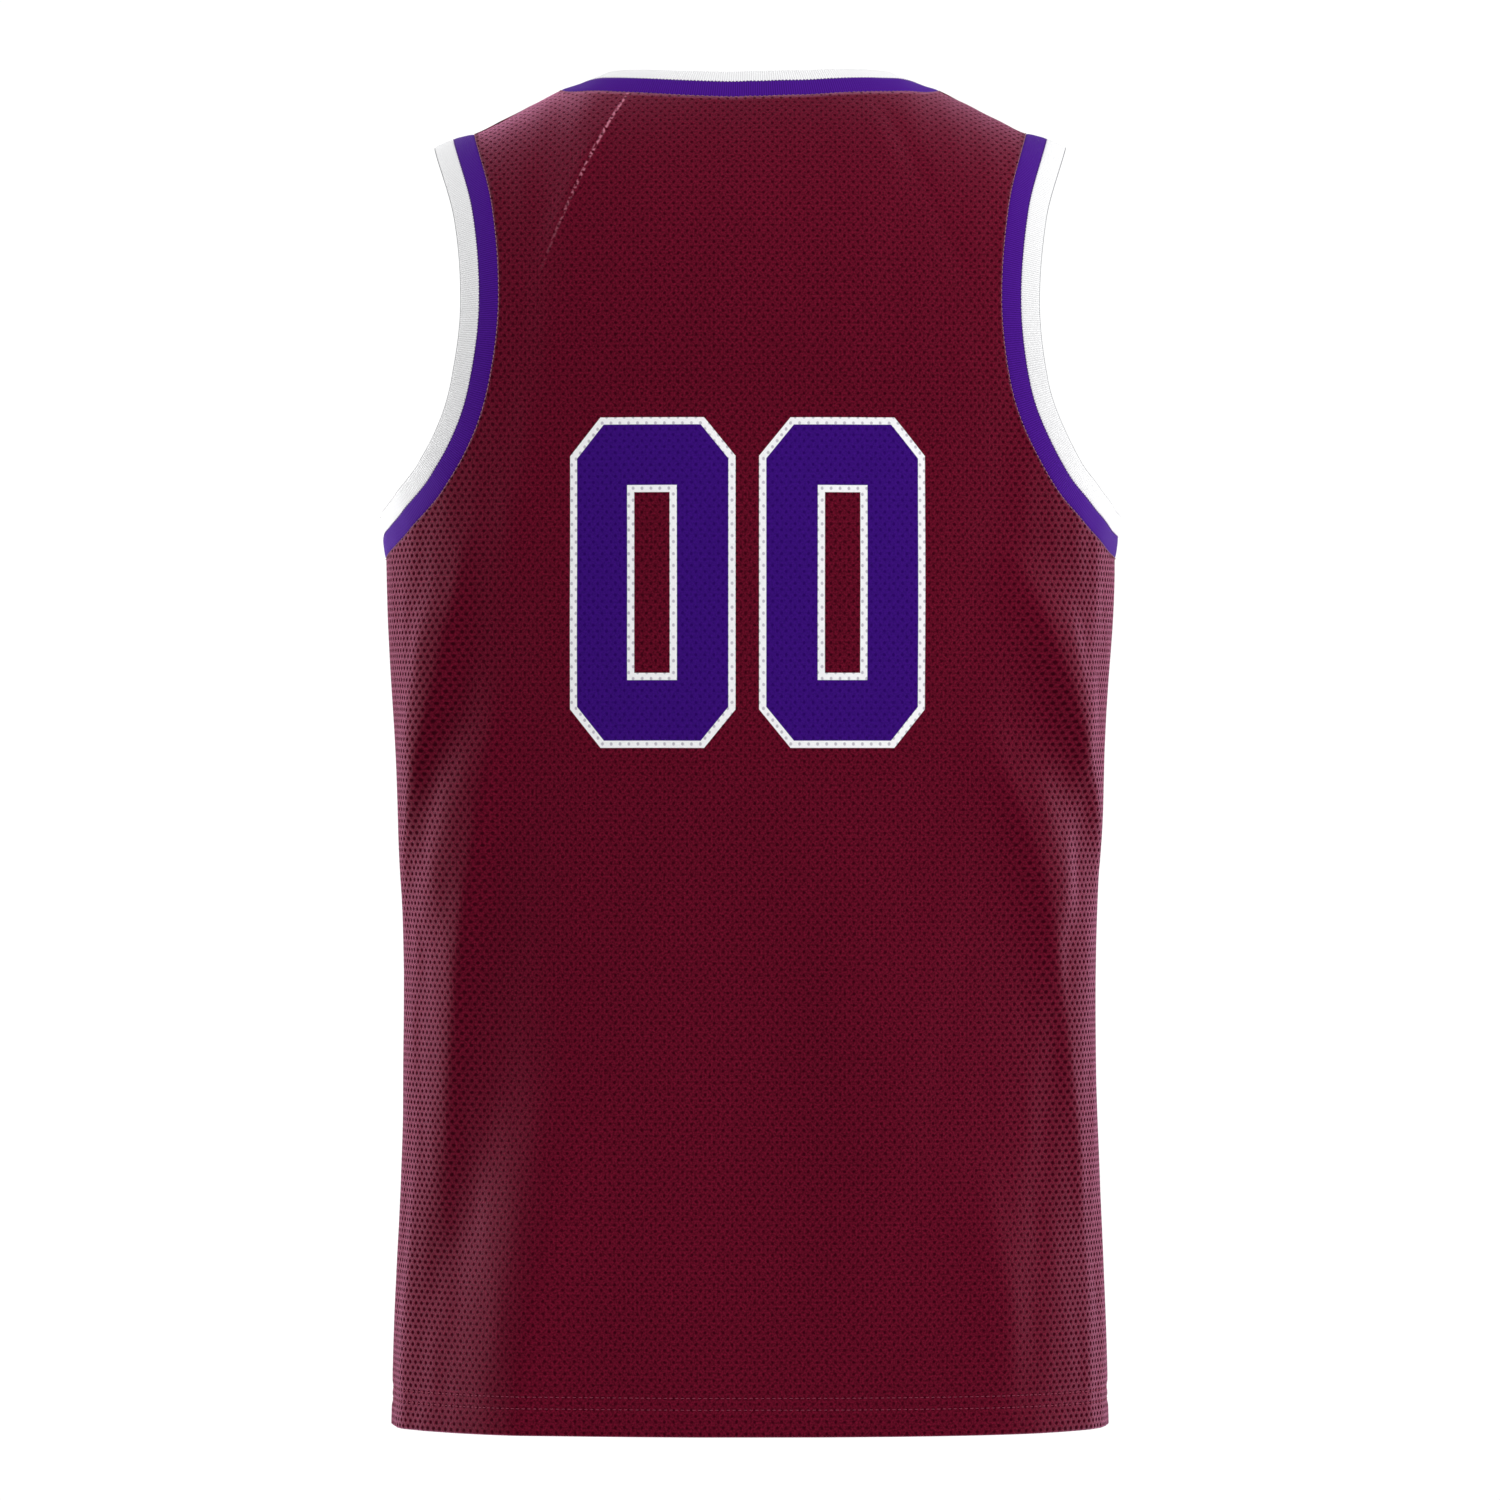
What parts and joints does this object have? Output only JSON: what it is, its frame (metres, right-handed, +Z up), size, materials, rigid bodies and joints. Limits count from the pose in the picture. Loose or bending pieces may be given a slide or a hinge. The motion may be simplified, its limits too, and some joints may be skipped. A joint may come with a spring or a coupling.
{
  "type": "basketball jersey",
  "caption": "Sleeveless mesh-knit jersey, filled out as worn, with two-colour rib trim round the neck and armholes, block numbers on the back and a double-stitched hem.",
  "frame": {"origin": "midway between the two shoulders, at the level where they carry the garment", "axes": "+Z up, +Y towards the wearer's chest, +X towards the wearer's right; the back, with the numbers, faces -Y"},
  "size_m": [0.4226, 0.2572, 0.7712],
  "materials": {
    "mesh_knit": "maroon polyester mesh knit with pinholes and a soft sheen",
    "rib_purple": "purple rib knit",
    "rib_white": "white rib knit"
  },
  "bodies": {
    "root": {"back_panel": "mesh_knit", "front_panel": "mesh_knit", "neck_trim_inner": "rib_purple", "neck_trim_edge": "rib_white", "left_armhole_trim_inner": "rib_purple", "left_armhole_trim_edge": "rib_white", "right_armhole_trim_inner": "rib_purple", "right_armhole_trim_edge": "rib_white"}
  },
  "joints": []
}
